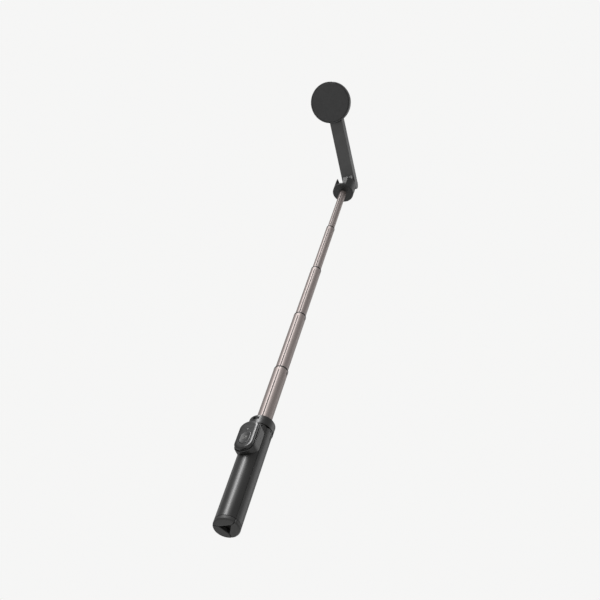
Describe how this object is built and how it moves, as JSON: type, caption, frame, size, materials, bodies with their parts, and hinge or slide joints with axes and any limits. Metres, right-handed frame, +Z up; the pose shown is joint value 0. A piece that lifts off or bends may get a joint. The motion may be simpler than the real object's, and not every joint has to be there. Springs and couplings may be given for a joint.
{
  "type": "selfie stick",
  "caption": "Telescopic selfie stick: a three-leg tripod handle with a docked round-ended remote, nested metal tubes, and a tilting arm that carries a magnetic puck.",
  "frame": {"origin": "centre of the closed handle's bottom face, on the stick's axis", "axes": "+Z up the stick towards the head, -Y towards the remote and the side the arm leans to, +X along the arm's hinge pin"},
  "size_m": [0.056, 0.137, 0.6972],
  "materials": {
    "satin_black": "satin soft-touch",
    "collar_black": "satin",
    "hub_black": "matt black die casting",
    "foot_rubber": "matt",
    "remote_shell": "satin to gloss",
    "button_grey": "satin",
    "lens_white": "clear white",
    "tube_metal": "warm grey satin anodised",
    "steel": "zinc plated",
    "bush_nylon": "nylon",
    "head_black": "satin",
    "arm_grey": "satin grey",
    "puck_black": "satin",
    "magnet_nickel": "nickel plated",
    "pad_silicone": "silicone",
    "board_green": "solder mask"
  },
  "bodies": {
    "handle": {"hub": "hub_black", "collar": "collar_black", "core_tube": "steel", "core_plug": "bush_nylon", "leg_pin_front": "steel", "leg_pin_right": "steel", "leg_pin_left": "steel"},
    "leg_front": {"leg_front": "satin_black", "foot_front": "foot_rubber", "remote_cradle": "satin_black", "cradle_screw_lower": "steel", "cradle_screw_upper": "steel"},
    "leg_right": {"leg_right": "satin_black", "foot_right": "foot_rubber"},
    "leg_left": {"leg_left": "satin_black", "foot_left": "foot_rubber"},
    "remote": {"remote_base": "remote_shell", "remote_cover": "remote_shell", "remote_board": "board_green", "remote_cell": "steel", "remote_switch": "steel", "remote_led": "lens_white"},
    "shutter_button": {"shutter_button": "button_grey"},
    "tube_1": {"tube_1": "tube_metal", "tube_1_bush": "bush_nylon"},
    "tube_2": {"tube_2": "tube_metal", "tube_2_bush": "bush_nylon"},
    "tube_3": {"tube_3": "tube_metal", "tube_3_bush": "bush_nylon"},
    "tube_4": {"tube_4": "tube_metal", "tube_4_bush": "bush_nylon"},
    "tube_5": {"tube_5": "tube_metal", "tube_5_bush": "bush_nylon", "head_fork": "head_black", "head_plug": "steel", "head_screw": "steel", "hinge_pin": "steel", "hinge_nut": "steel", "hinge_washer_left": "bush_nylon", "hinge_washer_right": "bush_nylon"},
    "arm": {"arm_frame": "arm_grey", "arm_cover": "arm_grey", "arm_screw_lower": "steel", "arm_screw_upper": "steel", "swivel_post": "steel", "swivel_clip": "steel"},
    "puck": {"puck_case": "puck_black", "puck_yoke": "steel", "magnet_ring": "magnet_nickel", "face_pad": "pad_silicone"}
  },
  "joints": [
    {"name": "leg_front_hinge", "type": "hinge", "parent": "handle", "child": "leg_front", "pos_m": [0, -0.01085, 0.1265], "axis": [-1, 0, 0], "range_deg": [0, 42]},
    {"name": "leg_right_hinge", "type": "hinge", "parent": "handle", "child": "leg_right", "pos_m": [0.0094, 0.00543, 0.1265], "axis": [0.5, -0.866, 0], "range_deg": [0, 42]},
    {"name": "leg_left_hinge", "type": "hinge", "parent": "handle", "child": "leg_left", "pos_m": [-0.0094, 0.00543, 0.1265], "axis": [0.5, 0.866, 0], "range_deg": [0, 42]},
    {"name": "tube_1_slide", "type": "slide", "parent": "handle", "child": "tube_1", "axis": [0, 0, 1], "range_m": [-0.0836, 0]},
    {"name": "tube_2_slide", "type": "slide", "parent": "tube_1", "child": "tube_2", "axis": [0, 0, 1], "range_m": [-0.0958, 0]},
    {"name": "tube_3_slide", "type": "slide", "parent": "tube_2", "child": "tube_3", "axis": [0, 0, 1], "range_m": [-0.092, 0]},
    {"name": "tube_4_slide", "type": "slide", "parent": "tube_3", "child": "tube_4", "axis": [0, 0, 1], "range_m": [-0.0912, 0]},
    {"name": "tube_5_slide", "type": "slide", "parent": "tube_4", "child": "tube_5", "axis": [0, 0, 1], "range_m": [-0.0866, 0]},
    {"name": "arm_fold", "type": "hinge", "parent": "tube_5", "child": "arm", "pos_m": [0, 0.0065, 0.6076], "axis": [1, 0, 0], "range_deg": [-61.5, 58.5]},
    {"name": "puck_swivel", "type": "hinge", "parent": "arm", "child": "puck", "pos_m": [0, -0.09282, 0.68371], "axis": [0, -0.4772, -0.8788], "continuous": true},
    {"name": "remote_release", "type": "slide", "parent": "leg_front", "child": "remote", "axis": [0, -1, 0], "range_m": [0, 0.02]},
    {"name": "shutter_press", "type": "slide", "parent": "remote", "child": "shutter_button", "axis": [0, 1, 0], "range_m": [0, 0.0003], "stiffness_N_per_m": 2500, "springref_m": -0.0004}
  ]
}
